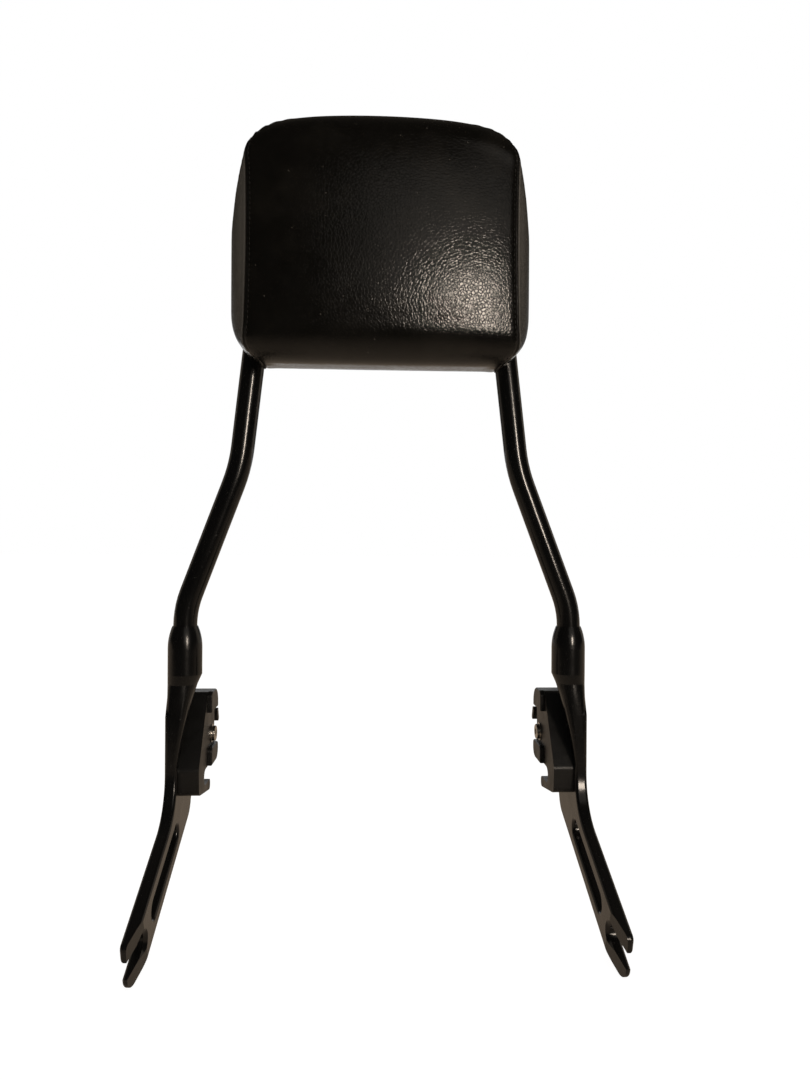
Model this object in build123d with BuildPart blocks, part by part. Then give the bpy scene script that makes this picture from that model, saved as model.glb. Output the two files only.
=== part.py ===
from build123d import *
from math import cos, radians, sin, sqrt, tan
import os

os.makedirs("parts", exist_ok=True)

# Frame: the origin is midway between the two rear docking studs, on their common line.
# +X is the rider's left, +Y is rearward and +Z is up, with the uprights standing upright.

# General fits
slip = 0.05
air = 0.3
weld_gap = 0.05

# Hoop tube
tube_od = 19.0
tube_wall = 2.5
upright_y = -20.5
foot_x = 157.8
foot_bend_z = 143.0
waist_x = 114.0
waist_z = 259.5
crown_x = 86.0
crown_above_bar = 60.0
foot_bend_radius = 75.0
waist_bend_radius = 130.0
crown_bend_radius = 50.0

# Tube socket on each side plate
socket_od = 27.4
neck_rim = 0.7
neck_top_z = 129.0
barrel_top_z = 111.5
barrel_end_z = 90.0
barrel_chamfer = 1.8
socket_floor_z = 99.5

# Shank between the socket and the plate
shank_top_z = 82.0
shank_mid_z = 50.0
shank_mid_thick = 14.5
shank_mid_depth = 15.0
shank_mid_round = 4.0
shank_end_z = 14.0
shank_end_depth = 4.5
shank_end_round = 1.8
shank_proud = 0.3

# Side plate and its swept arm
plate_thick = 10.0
plate_edge_round = 2.5
plate_sunk = 0.6
loft_inset = 0.5
plate_start_z = 57.5
dock_spacing = 149.0
dock_line_angle = 31.0
arm_angle = 23.0
arm_width = 37.0
arm_reach = 19.0
long_prong_extra = 5.0
front_knee_radius = 42.0
rear_knee_radius = 20.0
rear_knee_y = 19.0
plate_rear_y = 36.0
plate_rear_low_z = 11.5
plate_rear_high_z = 59.5
plate_top_z = 87.5
prong_end_round = 4.5
prong_tip_round = 8.0
mouth_lead = 3.0
fork_taper_back = 4.0
fork_taper_angle = 13.0

# Docking studs the frame goes on
stud_diameter = 12.7
dock_clearance = 0.3

# Long slot in the arm
arm_slot_width = 15.0
arm_slot_length = 73.0
arm_slot_from_dock = 30.0

# Latch body on the inner face of the plate
latch_thick = 16.4
latch_boss_rise = 3.5
latch_boss_z = 52.0
latch_boss_round = 1.0
latch_lobe_z = 21.5
latch_lobe_y = 9.0
latch_top_z = 69.5
latch_front_top_y = 8.0
latch_rear_y = 38.0
latch_front_low_y = -29.0
latch_front_low_z = 13.0
latch_toe_y = -27.0
latch_toe_z = -8.0
hook_tip_y = 20.0
hook_depth = 9.5
latch_corner_round = 5.0
latch_top_round = 13.0
lobe_round = 9.0
hook_round = 3.5
cheek_thick = 3.5

# Latch lever
lever_thick = 5.0
lever_side_air = 0.25
pivot_y = 26.0
pivot_z = 30.5
lever_hub_radius = 9.0
nose_front_y = 11.0
nose_rear_y = 22.0
nose_bottom_z = 2.6
lever_sweep_radius = 33.0
tab_reach = 29.0
tab_angle = 22.0
tab_width = 9.0
thumb_pad_length = 12.0
thumb_pad_width = 9.5
thumb_pad_thick = 5.0

# Pivot screw and washer
shoulder_diameter = 8.0
pivot_thread_diameter = 6.0
pivot_thread_length = 8.0
pivot_head_diameter = 13.0
pivot_head_height = 2.9
pivot_hex = 5.0
pivot_hex_depth = 1.8
pivot_washer_od = 16.0
pivot_washer_thick = 0.8

# Lever spring
spring_wire = 1.1
spring_radius = 6.2
spring_turns = 2.5
spring_pitch = 1.25
spring_leg = 4.0
spring_pocket_radius = 8.2
spring_pocket_depth = 4.5

# Stop pin and dowels
stop_pin_diameter = 4.0
stop_pin_along = 11.0
dowel_diameter = 5.0
dowel_depth = 5.0
low_dowel_y = -18.0
low_dowel_z = 6.0
high_dowel_y = 14.0
high_dowel_z = 61.0

# Crossbars in the hoop
crossbar_width = 25.0
crossbar_thick = 4.0
crossbar_proud = 1.0
lower_bar_above_pad_foot = 34.0
crossbar_spacing = 74.0
pad_screw_x = 50.0

# Pad
pad_bottom_z = 337.5
pad_height = 186.0
pad_half_width = 120.0
pad_top_flat_x = 66.0
pad_top_flat_drop = 4.5
pad_shoulder_x = 96.0
pad_shoulder_drop = 18.5
pad_top_corner_height = 66.0
pad_bottom_corner_height = 44.0
pad_foot_x = 93.0
pad_depth = 58.0
pad_front_bow = 9.5
pad_crown_radius = 1000.0
pad_crown_turn = 24.0
pad_seam_x = 97.5
pad_side_bulge = 2.0
pad_top_round = 24.0
pad_bottom_round = 26.0
pad_view_margin = 1.0
cover_thick = 1.2
hem_width = 18.0
base_thick = 6.0
land_diameter = 22.0
boss_diameter = 16.0
boss_height = 6.0

# Pad fasteners
pad_thread_diameter = 6.0
pad_screw_length = 15.0
pad_head_diameter = 11.0
pad_head_height = 3.3
pad_hex = 4.0
pad_hex_depth = 1.8
pad_washer_od = 14.0
pad_washer_thick = 1.5
insert_od = 9.0
insert_length = 11.0

# Places that follow from the sizes above
tube_radius = tube_od / 2
socket_radius = socket_od / 2
plate_outer_x = foot_x + socket_radius - plate_sunk
plate_inner_x = plate_outer_x - plate_thick
latch_inner_x = plate_inner_x - latch_thick
slot_inner_x = latch_inner_x + cheek_thick
slot_width = lever_thick + 2 * lever_side_air
slot_outer_x = slot_inner_x + slot_width
lever_inner_x = slot_inner_x + lever_side_air
lever_outer_x = lever_inner_x + lever_thick
notch_radius = stud_diameter / 2 + dock_clearance
washer_face_x = latch_inner_x - pivot_washer_thick
front_dock_y = -dock_spacing * cos(radians(dock_line_angle))
front_dock_z = -dock_spacing * sin(radians(dock_line_angle))
crossbar_front_y = upright_y - tube_radius - crossbar_proud
crossbar_back_y = crossbar_front_y + crossbar_thick
pad_back_y = crossbar_front_y
base_back_y = pad_back_y - cover_thick
base_front_y = base_back_y - base_thick
pad_front_y = pad_back_y - pad_depth
pad_top_z = pad_bottom_z + pad_height
pad_top_flat_z = pad_top_z - pad_top_flat_drop
pad_top_radius = (pad_top_flat_x**2 + pad_top_flat_drop**2) / (2 * pad_top_flat_drop)
pad_shoulder_z = pad_top_z - pad_shoulder_drop
pad_side_top_z = pad_shoulder_z - pad_top_corner_height
pad_side_low_z = pad_bottom_z + pad_bottom_corner_height
lower_crossbar_z = pad_bottom_z + lower_bar_above_pad_foot
upper_crossbar_z = lower_crossbar_z + crossbar_spacing
crown_z = upper_crossbar_z + crown_above_bar

arm_plane = Plane(
    origin=(plate_inner_x, front_dock_y, front_dock_z),
    x_dir=(0, -cos(radians(arm_angle)), -sin(radians(arm_angle))),
    z_dir=(1, 0, 0),
)
arm_top_plane = Plane(origin=arm_plane.origin, x_dir=arm_plane.x_dir, z_dir=arm_plane.y_dir)
fork_end = arm_reach + long_prong_extra


def on_arm(along, across):
    # A point of the arm as (y, z): along runs to the fork tip, across runs down and rearward.
    y = front_dock_y - along * cos(radians(arm_angle)) + across * sin(radians(arm_angle))
    z = front_dock_z - along * sin(radians(arm_angle)) - across * cos(radians(arm_angle))
    return (y, z)


def arm_edge_at(y, across):
    # Where an edge line of the arm passes a given y.
    start_y, start_z = on_arm(0, across)
    return (y, start_z + (y - start_y) * tan(radians(arm_angle)))


def side_plane(x):
    # The side view plane at a given x: its own axes are y and z.
    return Plane.YZ.offset(x)


def upright_x(z):
    # The tube centre on the straight part behind the pad.
    return waist_x + (crown_x - waist_x) * (z - waist_z) / (crown_z - waist_z)


# Hoop tube
with BuildPart() as hoop_tube:
    with BuildLine(Plane.XZ.offset(-upright_y)) as hoop_path:
        FilletPolyline(
            (-foot_x, socket_floor_z),
            (-foot_x, foot_bend_z),
            (-waist_x, waist_z),
            (-crown_x, crown_z),
            (crown_x, crown_z),
            (waist_x, waist_z),
            (foot_x, foot_bend_z),
            (foot_x, socket_floor_z),
            radius=[
                foot_bend_radius,
                waist_bend_radius,
                crown_bend_radius,
                crown_bend_radius,
                waist_bend_radius,
                foot_bend_radius,
            ],
        )
    with BuildSketch(Plane.XY.offset(socket_floor_z)) as tube_ring:
        with Locations((-foot_x, upright_y)):
            Circle(tube_radius)
            Circle(tube_radius - tube_wall, mode=Mode.SUBTRACT)
    sweep(path=hoop_path.wires()[0])
hoop_tube.part.label = "hoop_tube"
export_step(hoop_tube.part, "parts/hoop_tube.step")


def crossbar(bar_z):
    # A flat bar whose ends meet the inner sides of the two uprights.
    reach = sqrt(tube_radius**2 - (crossbar_back_y - upright_y) ** 2) + weld_gap
    low_z = bar_z - crossbar_width / 2
    high_z = bar_z + crossbar_width / 2
    low_x = upright_x(low_z) - reach
    high_x = upright_x(high_z) - reach
    with BuildPart() as bar:
        with BuildSketch(Plane.XZ.offset(-crossbar_back_y)):
            with BuildLine():
                Polyline((-low_x, low_z), (low_x, low_z), (high_x, high_z), (-high_x, high_z), close=True)
            make_face()
            with Locations((-pad_screw_x, bar_z), (pad_screw_x, bar_z)):
                Circle(pad_thread_diameter / 2 + air, mode=Mode.SUBTRACT)
        extrude(amount=crossbar_thick)
    return bar.part


# Crossbars
with BuildPart() as lower_crossbar:
    add(crossbar(lower_crossbar_z))
lower_crossbar.part.label = "lower_crossbar"
export_step(lower_crossbar.part, "parts/lower_crossbar.step")

with BuildPart() as upper_crossbar:
    add(crossbar(upper_crossbar_z))
upper_crossbar.part.label = "upper_crossbar"
export_step(upper_crossbar.part, "parts/upper_crossbar.step")

# Side plate: a flat forging with a round tube socket, whose shank flattens into the front edge
front_edge_y = upright_y - socket_radius + loft_inset
shank_front_y = front_edge_y - shank_proud
shank_outer_x = plate_outer_x - loft_inset
shank_end_thick = plate_thick - 2 * loft_inset
with BuildPart() as left_side_plate:
    with BuildSketch(side_plane(plate_inner_x)):
        with BuildLine():
            FilletPolyline(
                (front_edge_y, plate_start_z),
                arm_edge_at(front_edge_y, -arm_width / 2),
                on_arm(arm_reach, -arm_width / 2),
                on_arm(arm_reach + long_prong_extra, arm_width / 2),
                arm_edge_at(rear_knee_y, arm_width / 2),
                (plate_rear_y, plate_rear_low_z),
                (plate_rear_y, plate_rear_high_z),
                (upright_y, plate_top_z),
                radius=[
                    0,
                    front_knee_radius,
                    prong_end_round,
                    prong_tip_round,
                    rear_knee_radius,
                    rear_knee_radius,
                    rear_knee_radius,
                    0,
                ],
                close=True,
            )
        make_face()
    extrude(amount=plate_thick)
    with BuildSketch(arm_plane):
        with Locations((-arm_slot_from_dock - arm_slot_length / 2, 0)):
            SlotCenterToCenter(arm_slot_length, arm_slot_width)
        with Locations((arm_reach, 0)):
            SlotCenterToCenter(2 * arm_reach, 2 * notch_radius)
    extrude(amount=plate_thick, mode=Mode.SUBTRACT)
    fillet(faces().filter_by(Axis.X).edges(), plate_edge_round)
    with BuildSketch(arm_plane.offset(-loft_inset)):
        with Locations((arm_reach, 0)):
            SlotCenterToCenter(2 * arm_reach, 2 * (notch_radius + mouth_lead + loft_inset))
    extrude(amount=mouth_lead, taper=45, mode=Mode.SUBTRACT)
    with BuildSketch(arm_top_plane):
        with BuildLine():
            Polyline(
                (-fork_taper_back - fork_end, fork_end * tan(radians(fork_taper_angle))),
                (2 * fork_end, fork_end * tan(radians(fork_taper_angle))),
                (2 * fork_end, -(2 * fork_end + fork_taper_back) * tan(radians(fork_taper_angle))),
                close=True,
            )
        make_face()
    extrude(amount=arm_width, both=True, mode=Mode.SUBTRACT)
    with BuildSketch(Plane.XY.offset(barrel_end_z)):
        with Locations((foot_x, upright_y)):
            Circle(socket_radius)
    extrude(amount=barrel_top_z - barrel_end_z)
    with BuildSketch(Plane.XY.offset(barrel_end_z)):
        with Locations((foot_x, upright_y)):
            Circle(socket_radius)
    with BuildSketch(Plane.XY.offset(shank_top_z)):
        with Locations((foot_x + barrel_chamfer, upright_y)):
            Circle(socket_radius - barrel_chamfer)
    loft()
    with BuildSketch(Plane.XY.offset(shank_top_z)):
        with Locations((foot_x + barrel_chamfer, upright_y)):
            Circle(socket_radius - barrel_chamfer)
    with BuildSketch(Plane.XY.offset(shank_mid_z)):
        with Locations((shank_outer_x - shank_mid_thick / 2, shank_front_y + shank_mid_depth / 2)):
            RectangleRounded(shank_mid_thick, shank_mid_depth, shank_mid_round)
    with BuildSketch(Plane.XY.offset(shank_end_z)):
        with Locations((shank_outer_x - shank_end_thick / 2, shank_front_y + shank_end_depth / 2)):
            RectangleRounded(shank_end_thick, shank_end_depth, shank_end_round)
    loft()
    with BuildSketch(Plane.XZ.offset(-upright_y)):
        with BuildLine():
            Polyline(
                (foot_x + socket_radius, barrel_top_z),
                (foot_x, barrel_top_z),
                (foot_x, neck_top_z),
                (foot_x + tube_radius + neck_rim, neck_top_z),
            )
            TangentArc(
                (foot_x + socket_radius, barrel_top_z),
                (foot_x + tube_radius + neck_rim, neck_top_z),
                tangent=(0, 1),
            )
        make_face()
    revolve(axis=Axis((foot_x, upright_y, 0), (0, 0, 1)))
    with BuildSketch(Plane.XY.offset(socket_floor_z)):
        with Locations((foot_x, upright_y)):
            Circle(tube_radius + slip)
    extrude(amount=neck_top_z - socket_floor_z, mode=Mode.SUBTRACT)
    with BuildSketch(side_plane(plate_inner_x)):
        with Locations((pivot_y, pivot_z)):
            Circle(pivot_thread_diameter / 2 + slip)
    extrude(amount=pivot_thread_length + air, mode=Mode.SUBTRACT)
    with BuildSketch(side_plane(plate_inner_x)):
        with Locations((low_dowel_y, low_dowel_z), (high_dowel_y, high_dowel_z)):
            Circle(dowel_diameter / 2 + slip)
    extrude(amount=dowel_depth, mode=Mode.SUBTRACT)
left_side_plate.part.label = "left_side_plate"
export_step(left_side_plate.part, "parts/left_side_plate.step")

with BuildPart() as right_side_plate:
    mirror(left_side_plate.part, about=Plane.YZ)
right_side_plate.part.label = "right_side_plate"
export_step(right_side_plate.part, "parts/right_side_plate.step")

# Latch body: a casting with a notch for the rear stud and a round-bottomed slot for the lever
stop_pin_across = tab_width / 2 + stop_pin_diameter / 2 + air
stop_pin_y = pivot_y + stop_pin_along * cos(radians(tab_angle)) - stop_pin_across * sin(radians(tab_angle))
stop_pin_z = pivot_z + stop_pin_along * sin(radians(tab_angle)) + stop_pin_across * cos(radians(tab_angle))
with BuildPart() as left_latch_body:
    with BuildSketch(side_plane(latch_inner_x)) as latch_outline:
        with BuildLine():
            FilletPolyline(
                (latch_front_top_y, latch_top_z),
                (latch_rear_y, latch_top_z),
                (latch_rear_y, notch_radius),
                (0, notch_radius),
                (0, -notch_radius),
                (hook_tip_y, -notch_radius),
                (hook_tip_y, -notch_radius - hook_depth),
                (latch_toe_y, latch_toe_z),
                (latch_front_low_y, latch_front_low_z),
                radius=[
                    latch_corner_round,
                    latch_top_round,
                    lobe_round,
                    0,
                    0,
                    hook_round,
                    hook_round,
                    latch_corner_round,
                    latch_corner_round,
                ],
                close=True,
            )
        make_face()
        Circle(notch_radius, mode=Mode.SUBTRACT)
    extrude(amount=latch_thick)
    with BuildSketch(side_plane(latch_inner_x)):
        with BuildLine():
            FilletPolyline(
                (latch_front_top_y, latch_top_z),
                (latch_rear_y, latch_top_z),
                (latch_rear_y, latch_boss_z),
                (latch_front_top_y, latch_boss_z),
                radius=[latch_corner_round, latch_top_round, 0, 0],
                close=True,
            )
        make_face()
    extrude(amount=-latch_boss_rise)
    with BuildSketch(side_plane(latch_inner_x)):
        with BuildLine():
            FilletPolyline(
                (latch_lobe_y, latch_lobe_z),
                (latch_rear_y, latch_lobe_z),
                (latch_rear_y, notch_radius),
                (latch_lobe_y, notch_radius),
                radius=[hook_round, hook_round, lobe_round, 0],
                close=True,
            )
        make_face()
    extrude(amount=-latch_boss_rise)
    fillet(faces().group_by(Axis.X)[0].edges(), latch_boss_round)
    with BuildSketch(side_plane(slot_inner_x)):
        with Locations((pivot_y, pivot_z)):
            Circle(lever_sweep_radius)
    extrude(amount=slot_width, mode=Mode.SUBTRACT)
    with BuildSketch(side_plane(latch_inner_x)):
        with Locations((pivot_y, pivot_z)):
            Circle(shoulder_diameter / 2 + slip)
    extrude(amount=latch_thick, mode=Mode.SUBTRACT)
    with BuildSketch(side_plane(slot_outer_x)):
        with Locations((pivot_y, pivot_z)):
            Circle(spring_pocket_radius)
    extrude(amount=spring_pocket_depth, mode=Mode.SUBTRACT)
    with BuildSketch(side_plane(slot_inner_x - cheek_thick / 2)):
        with Locations((stop_pin_y, stop_pin_z)):
            Circle(stop_pin_diameter / 2 + slip)
    extrude(amount=slot_width + cheek_thick, mode=Mode.SUBTRACT)
    with BuildSketch(side_plane(plate_inner_x)):
        with Locations((low_dowel_y, low_dowel_z), (high_dowel_y, high_dowel_z)):
            Circle(dowel_diameter / 2 + slip)
    extrude(amount=-dowel_depth, mode=Mode.SUBTRACT)
left_latch_body.part.label = "left_latch_body"
export_step(left_latch_body.part, "parts/left_latch_body.step")

with BuildPart() as right_latch_body:
    mirror(left_latch_body.part, about=Plane.YZ)
right_latch_body.part.label = "right_latch_body"
export_step(right_latch_body.part, "parts/right_latch_body.step")

# Lever spring: a coil in the pocket round the pivot, with one leg in the lever
spring_start_x = slot_outer_x + spring_wire / 2 + lever_side_air
with BuildPart() as left_lever_spring:
    with BuildLine() as coil_path:
        Helix(
            spring_pitch,
            spring_turns * spring_pitch,
            spring_radius,
            center=(spring_start_x, pivot_y, pivot_z),
            direction=(1, 0, 0),
        )
    coil_start = coil_path.line @ 0
    with BuildSketch(Plane(origin=coil_start, z_dir=coil_path.line % 0)):
        Circle(spring_wire / 2)
    sweep(path=coil_path.wires()[0])
    with BuildSketch(side_plane(spring_start_x)):
        with Locations((coil_start.Y, coil_start.Z)):
            Circle(spring_wire / 2)
    extrude(amount=-spring_leg)
left_lever_spring.part.label = "left_lever_spring"
export_step(left_lever_spring.part, "parts/left_lever_spring.step")

with BuildPart() as right_lever_spring:
    mirror(left_lever_spring.part, about=Plane.YZ)
right_lever_spring.part.label = "right_lever_spring"
export_step(right_lever_spring.part, "parts/right_lever_spring.step")

# Latch lever: hub, nose that closes the notch, arm to the thumb pad
with BuildPart() as left_latch_lever:
    with BuildSketch(side_plane(lever_inner_x)):
        with Locations((pivot_y, pivot_z)):
            Circle(lever_hub_radius)
        with BuildLine():
            FilletPolyline(
                (pivot_y - lever_hub_radius, pivot_z),
                (nose_front_y, nose_bottom_z),
                (nose_rear_y, nose_bottom_z),
                (pivot_y + lever_hub_radius, pivot_z),
                radius=[0, hook_round, hook_round, 0],
                close=True,
            )
        make_face()
        with Locations(Location((pivot_y, pivot_z, 0), (0, 0, tab_angle))):
            Rectangle(tab_reach, tab_width, align=(Align.MIN, Align.CENTER))
        with Locations((pivot_y, pivot_z)):
            Circle(shoulder_diameter / 2 + slip, mode=Mode.SUBTRACT)
        with Locations((coil_start.Y, coil_start.Z)):
            Circle(spring_wire / 2 + air, mode=Mode.SUBTRACT)
    extrude(amount=lever_thick)
    with BuildSketch(side_plane(lever_outer_x)):
        with Locations(Location((pivot_y, pivot_z, 0), (0, 0, tab_angle))):
            with Locations((tab_reach, 0)):
                RectangleRounded(thumb_pad_thick, thumb_pad_length, thumb_pad_thick / 3)
    extrude(amount=-thumb_pad_width)
left_latch_lever.part.label = "left_latch_lever"
export_step(left_latch_lever.part, "parts/left_latch_lever.step")

with BuildPart() as right_latch_lever:
    mirror(left_latch_lever.part, about=Plane.YZ)
right_latch_lever.part.label = "right_latch_lever"
export_step(right_latch_lever.part, "parts/right_latch_lever.step")

# Pivot screw: head on the washer, shoulder through the latch, thread in the plate
with BuildPart() as left_pivot_screw:
    with BuildSketch(side_plane(washer_face_x)):
        with Locations((pivot_y, pivot_z)):
            Circle(pivot_head_diameter / 2)
    extrude(amount=-pivot_head_height)
    fillet(faces().sort_by(Axis.X)[0].edges(), pivot_head_height / 5)
    with BuildSketch(side_plane(washer_face_x)):
        with Locations((pivot_y, pivot_z)):
            Circle(shoulder_diameter / 2)
    extrude(amount=plate_inner_x - washer_face_x)
    with BuildSketch(side_plane(plate_inner_x)):
        with Locations((pivot_y, pivot_z)):
            Circle(pivot_thread_diameter / 2)
    extrude(amount=pivot_thread_length)
    with BuildSketch(side_plane(washer_face_x - pivot_head_height)):
        with Locations((pivot_y, pivot_z)):
            RegularPolygon(pivot_hex / 2, 6, major_radius=False)
    extrude(amount=pivot_hex_depth, mode=Mode.SUBTRACT)
left_pivot_screw.part.label = "left_pivot_screw"
export_step(left_pivot_screw.part, "parts/left_pivot_screw.step")

with BuildPart() as right_pivot_screw:
    mirror(left_pivot_screw.part, about=Plane.YZ)
right_pivot_screw.part.label = "right_pivot_screw"
export_step(right_pivot_screw.part, "parts/right_pivot_screw.step")

# Pivot washer
with BuildPart() as left_pivot_washer:
    with BuildSketch(side_plane(washer_face_x)):
        with Locations((pivot_y, pivot_z)):
            Circle(pivot_washer_od / 2)
            Circle(shoulder_diameter / 2 + slip, mode=Mode.SUBTRACT)
    extrude(amount=pivot_washer_thick)
left_pivot_washer.part.label = "left_pivot_washer"
export_step(left_pivot_washer.part, "parts/left_pivot_washer.step")

with BuildPart() as right_pivot_washer:
    mirror(left_pivot_washer.part, about=Plane.YZ)
right_pivot_washer.part.label = "right_pivot_washer"
export_step(right_pivot_washer.part, "parts/right_pivot_washer.step")

# Stop pin across the slot, in front of the lever arm
with BuildPart() as left_stop_pin:
    with BuildSketch(side_plane(slot_inner_x - cheek_thick / 2)):
        with Locations((stop_pin_y, stop_pin_z)):
            Circle(stop_pin_diameter / 2)
    extrude(amount=slot_width + cheek_thick)
left_stop_pin.part.label = "left_stop_pin"
export_step(left_stop_pin.part, "parts/left_stop_pin.step")

with BuildPart() as right_stop_pin:
    mirror(left_stop_pin.part, about=Plane.YZ)
right_stop_pin.part.label = "right_stop_pin"
export_step(right_stop_pin.part, "parts/right_stop_pin.step")

# Dowels between latch body and plate
with BuildPart() as left_dowels:
    with BuildSketch(side_plane(plate_inner_x - dowel_depth)):
        with Locations((low_dowel_y, low_dowel_z), (high_dowel_y, high_dowel_z)):
            Circle(dowel_diameter / 2)
    extrude(amount=2 * dowel_depth)
left_dowels.part.label = "left_dowels"
export_step(left_dowels.part, "parts/left_dowels.step")

with BuildPart() as right_dowels:
    mirror(left_dowels.part, about=Plane.YZ)
right_dowels.part.label = "right_dowels"
export_step(right_dowels.part, "parts/right_dowels.step")


def pad_front_view(inset, y):
    # The pad as seen from the front, inset all round, on the plane at y.
    with BuildSketch(Plane.XZ.offset(-y)) as view:
        with BuildLine():
            ThreePointArc((-pad_top_flat_x, pad_top_flat_z), (0, pad_top_z), (pad_top_flat_x, pad_top_flat_z))
            Line((-pad_foot_x, pad_bottom_z), (pad_foot_x, pad_bottom_z))
            for side in (1, -1):
                edge_x = side * pad_half_width
                TangentArc(
                    (side * pad_top_flat_x, pad_top_flat_z),
                    (side * pad_shoulder_x, pad_shoulder_z),
                    tangent=(side * sqrt(pad_top_radius**2 - pad_top_flat_x**2), -pad_top_flat_x),
                )
                Line((edge_x, pad_side_top_z), (edge_x, pad_side_low_z))
                TangentArc((edge_x, pad_side_top_z), (side * pad_shoulder_x, pad_shoulder_z), tangent=(0, 1))
                TangentArc((edge_x, pad_side_low_z), (side * pad_foot_x, pad_bottom_z), tangent=(0, -1))
        make_face()
        if inset:
            offset(amount=-inset)
    return view.sketch


def pad_form(inset):
    # The stuffed shape: what the front and top views and the turned side view, all inset, have in common.
    # The top view sets the back, and the views overshoot each other by a small margin elsewhere.
    beyond = pad_view_margin
    with BuildPart() as form:
        extrude(pad_front_view(inset, pad_back_y + beyond), amount=pad_depth + 3 * beyond)
        back_x = pad_half_width + beyond
        front_y = pad_front_y - beyond
        middle_x = (pad_half_width + pad_seam_x) / 2 + pad_side_bulge
        middle_y = (pad_back_y + pad_front_y) / 2
        with BuildSketch(Plane.XY.offset(pad_bottom_z - beyond)):
            with BuildLine():
                Line((-back_x, pad_back_y), (back_x, pad_back_y))
                Line((-pad_seam_x, front_y), (pad_seam_x, front_y))
                ThreePointArc((back_x, pad_back_y), (middle_x, middle_y), (pad_seam_x, front_y))
                ThreePointArc((-back_x, pad_back_y), (-middle_x, middle_y), (-pad_seam_x, front_y))
            make_face()
            if inset:
                offset(amount=-inset)
        extrude(amount=pad_top_z - pad_bottom_z + 2 * beyond, mode=Mode.INTERSECT)
        edge_y = pad_front_y + pad_front_bow
        low_z = pad_bottom_z - beyond
        high_z = pad_top_z + beyond
        behind_y = pad_back_y + 2 * beyond
        with BuildSketch(side_plane(0)) as side_view:
            with BuildLine():
                Polyline((edge_y, high_z), (behind_y, high_z), (behind_y, low_z), (edge_y, low_z))
                ThreePointArc((edge_y, low_z), (pad_front_y, (low_z + high_z) / 2), (edge_y, high_z))
            make_face()
            fillet(vertices().sort_by_distance((edge_y, low_z))[0], pad_bottom_round)
            fillet(vertices().sort_by_distance((edge_y, high_z))[0], pad_top_round)
            if inset:
                offset(amount=-inset)
        crown_axis = Axis((0, pad_front_y + pad_crown_radius, 0), (0, 0, 1))
        first_side = side_view.sketch.rotate(crown_axis, -pad_crown_turn / 2)
        revolve(first_side, axis=crown_axis, revolution_arc=pad_crown_turn, mode=Mode.INTERSECT)
    return form.part


pad_outside = pad_form(0)
pad_inside = pad_form(cover_thick)
pad_screw_places = [
    (-pad_screw_x, lower_crossbar_z),
    (pad_screw_x, lower_crossbar_z),
    (-pad_screw_x, upper_crossbar_z),
    (pad_screw_x, upper_crossbar_z),
]

# Pad cover: a skin over the stuffed shape, with its hem turned in on the back
with BuildPart() as pad_cover:
    add(pad_outside)
    add(pad_inside, mode=Mode.SUBTRACT)
    extrude(pad_front_view(hem_width, pad_back_y), amount=cover_thick, mode=Mode.SUBTRACT)
pad_cover.part.label = "pad_cover"
export_step(pad_cover.part, "parts/pad_cover.step")

# Pad base: the board, with lands that sit on the crossbars and bosses for the inserts
with BuildPart() as pad_base:
    add(pad_inside)
    split(bisect_by=Plane.XZ.offset(-base_front_y), keep=Keep.BOTTOM)
    with BuildSketch(Plane.XZ.offset(-pad_back_y)):
        with Locations(*pad_screw_places):
            Circle(land_diameter / 2)
    extrude(amount=cover_thick)
    with BuildSketch(Plane.XZ.offset(-base_front_y)):
        with Locations(*pad_screw_places):
            Circle(boss_diameter / 2)
    extrude(amount=boss_height)
    with BuildSketch(Plane.XZ.offset(-pad_back_y)):
        with Locations(*pad_screw_places):
            Circle(insert_od / 2 + slip)
    extrude(amount=insert_length, mode=Mode.SUBTRACT)
pad_base.part.label = "pad_base"
export_step(pad_base.part, "parts/pad_base.step")

# Pad foam
with BuildPart() as pad_foam:
    add(pad_inside)
    split(bisect_by=Plane.XZ.offset(-base_front_y), keep=Keep.TOP)
    with BuildSketch(Plane.XZ.offset(-base_front_y)):
        with Locations(*pad_screw_places):
            Circle(boss_diameter / 2 + air)
    extrude(amount=boss_height + air, mode=Mode.SUBTRACT)
pad_foam.part.label = "pad_foam"
export_step(pad_foam.part, "parts/pad_foam.step")

# Pad inserts
with BuildPart() as pad_inserts:
    with BuildSketch(Plane.XZ.offset(-pad_back_y)):
        with Locations(*pad_screw_places):
            Circle(insert_od / 2)
            Circle(pad_thread_diameter / 2 + slip, mode=Mode.SUBTRACT)
    extrude(amount=insert_length)
pad_inserts.part.label = "pad_inserts"
export_step(pad_inserts.part, "parts/pad_inserts.step")

# Pad washers and pad screws, from behind the crossbars
with BuildPart() as pad_washers:
    with BuildSketch(Plane.XZ.offset(-crossbar_back_y)):
        with Locations(*pad_screw_places):
            Circle(pad_washer_od / 2)
            Circle(pad_thread_diameter / 2 + air, mode=Mode.SUBTRACT)
    extrude(amount=-pad_washer_thick)
pad_washers.part.label = "pad_washers"
export_step(pad_washers.part, "parts/pad_washers.step")

pad_head_y = crossbar_back_y + pad_washer_thick
with BuildPart() as pad_screws:
    with BuildSketch(Plane.XZ.offset(-pad_head_y)):
        with Locations(*pad_screw_places):
            Circle(pad_head_diameter / 2)
    extrude(amount=-pad_head_height)
    fillet(faces().filter_by(Axis.Y).sort_by(Axis.Y)[-4:].edges(), pad_head_height / 2)
    with BuildSketch(Plane.XZ.offset(-pad_head_y)):
        with Locations(*pad_screw_places):
            Circle(pad_thread_diameter / 2)
    extrude(amount=pad_screw_length)
    with BuildSketch(Plane.XZ.offset(-pad_head_y - pad_head_height)):
        with Locations(*pad_screw_places):
            RegularPolygon(pad_hex / 2, 6, major_radius=False)
    extrude(amount=pad_hex_depth, mode=Mode.SUBTRACT)
pad_screws.part.label = "pad_screws"
export_step(pad_screws.part, "parts/pad_screws.step")
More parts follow.
